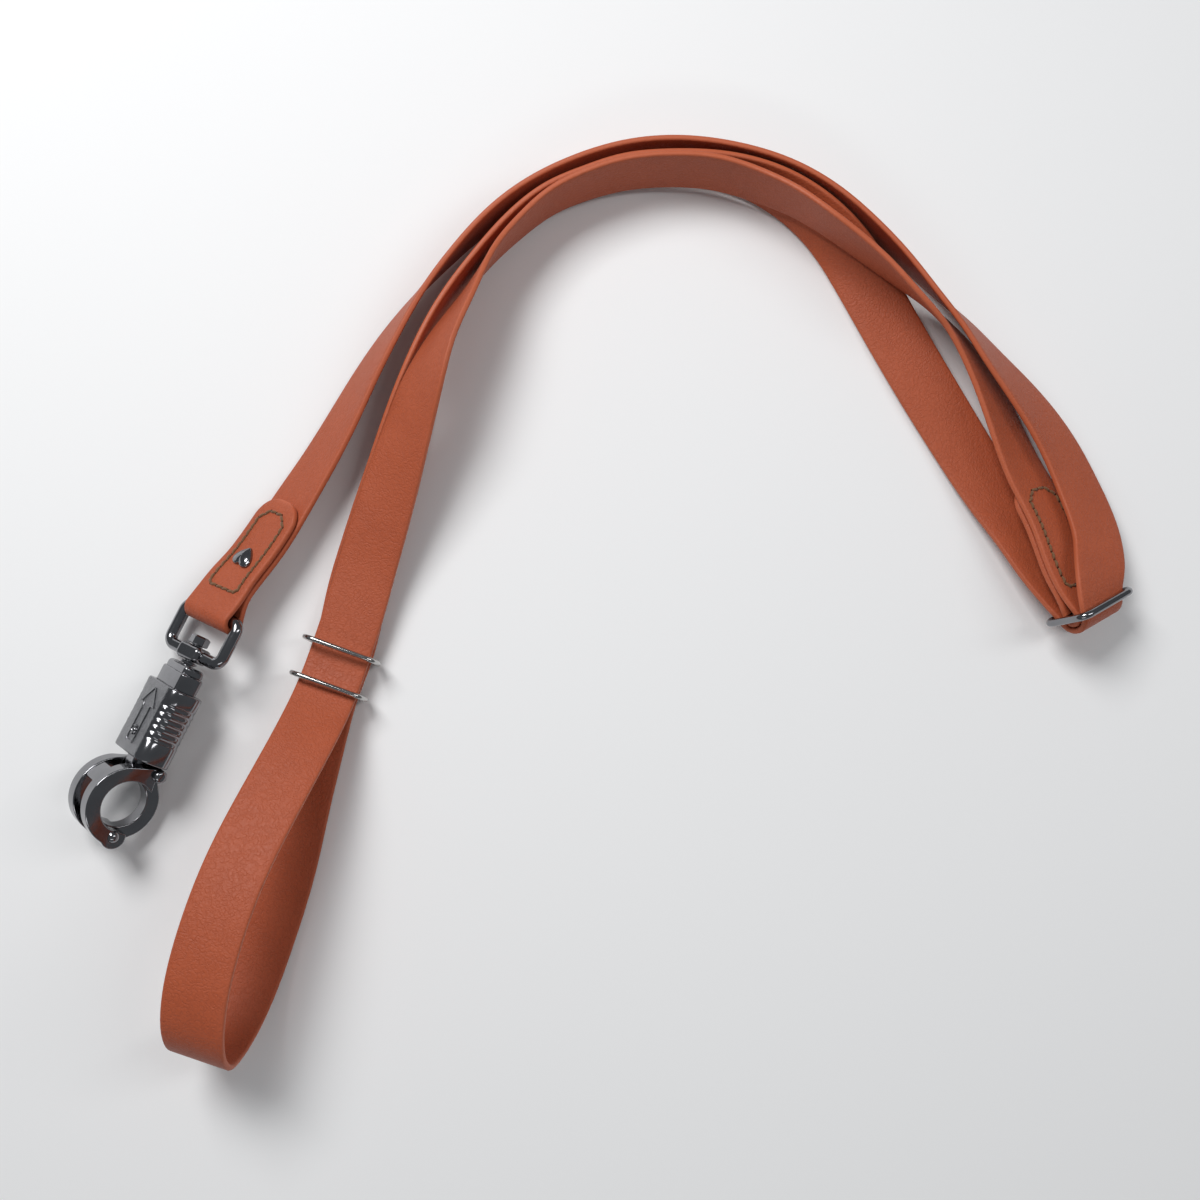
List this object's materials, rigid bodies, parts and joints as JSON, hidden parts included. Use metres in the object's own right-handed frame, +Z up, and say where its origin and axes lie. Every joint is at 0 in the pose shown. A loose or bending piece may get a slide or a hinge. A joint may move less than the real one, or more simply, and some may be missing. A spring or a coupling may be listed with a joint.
{
  "type": "training leash",
  "caption": "Flat leather training leash with a swivelling quick-release snap, a three-bar slider and a hand loop held by keeper rings.",
  "frame": {"origin": "on the table under the middle of the leash's outline", "axes": "+Z up from the table, +X from the snap towards the slider, +Y from the hand loop towards the top of the strap's arc"},
  "size_m": [0.3432, 0.3028, 0.0438],
  "materials": {
    "leather": "smooth grained",
    "thread": "matt twisted thread",
    "dark_chrome": "polished black nickel",
    "bright_chrome": "polished",
    "spring_steel": "drawn wire"
  },
  "bodies": {
    "leash": {"strap": "leather", "snap_end_thread": "thread", "slider_end_thread": "thread", "heart_rivet_cap": "dark_chrome", "heart_rivet_back": "dark_chrome"},
    "bail": {"swivel_bail": "dark_chrome"},
    "snap": {"swivel_stem": "dark_chrome", "snap_body": "dark_chrome", "jaw_pin": "dark_chrome", "release_spring": "spring_steel"},
    "sleeve": {"release_sleeve": "dark_chrome", "sleeve_pin": "dark_chrome", "spring_washer": "spring_steel"},
    "jaw": {"release_jaw": "dark_chrome"},
    "ring_upper": {"keeper_ring_upper": "bright_chrome"},
    "ring_lower": {"keeper_ring_lower": "bright_chrome"},
    "buckle": {"slider": "dark_chrome"}
  },
  "joints": [
    {"name": "bail_swing", "type": "hinge", "parent": "leash", "child": "bail", "pos_m": [-0.12833, -0.01106, 0.01204], "axis": [0.7927, -0.3696, 0.4848], "range_deg": [-90, 90]},
    {"name": "snap_swivel", "type": "hinge", "parent": "bail", "child": "snap", "pos_m": [-0.12833, -0.01106, 0.01204], "axis": [-0.4226, -0.9063, 0], "continuous": true},
    {"name": "sleeve_slide", "type": "slide", "parent": "snap", "child": "sleeve", "axis": [0.4226, 0.9063, 0], "range_m": [0, 0.0078], "stiffness_N_per_m": 400, "springref_m": -0.01, "deforming": ["release_spring"]},
    {"name": "jaw_open", "type": "hinge", "parent": "snap", "child": "jaw", "pos_m": [-0.14788, -0.06108, 0.00896], "axis": [-0.6064, 0.2828, -0.7431], "range_deg": [0, 35.8]},
    {"name": "ring_upper_slide", "type": "slide", "parent": "leash", "child": "ring_upper", "axis": [0.342, 0.9397, 0], "range_m": [-0.004, 0.006]},
    {"name": "ring_lower_slide", "type": "slide", "parent": "leash", "child": "ring_lower", "axis": [0.342, 0.9397, 0], "range_m": [-0.003, 0.005]},
    {"name": "slider_tilt", "type": "hinge", "parent": "leash", "child": "buckle", "pos_m": [0.15767, -0.00836, 0.01454], "axis": [-0.8075, -0.4115, 0.4226], "range_deg": [-5, 3.5]}
  ],
  "couplings": [
    {"joint": "jaw_open", "follows": "sleeve_slide", "rad_per_m": 80}
  ]
}
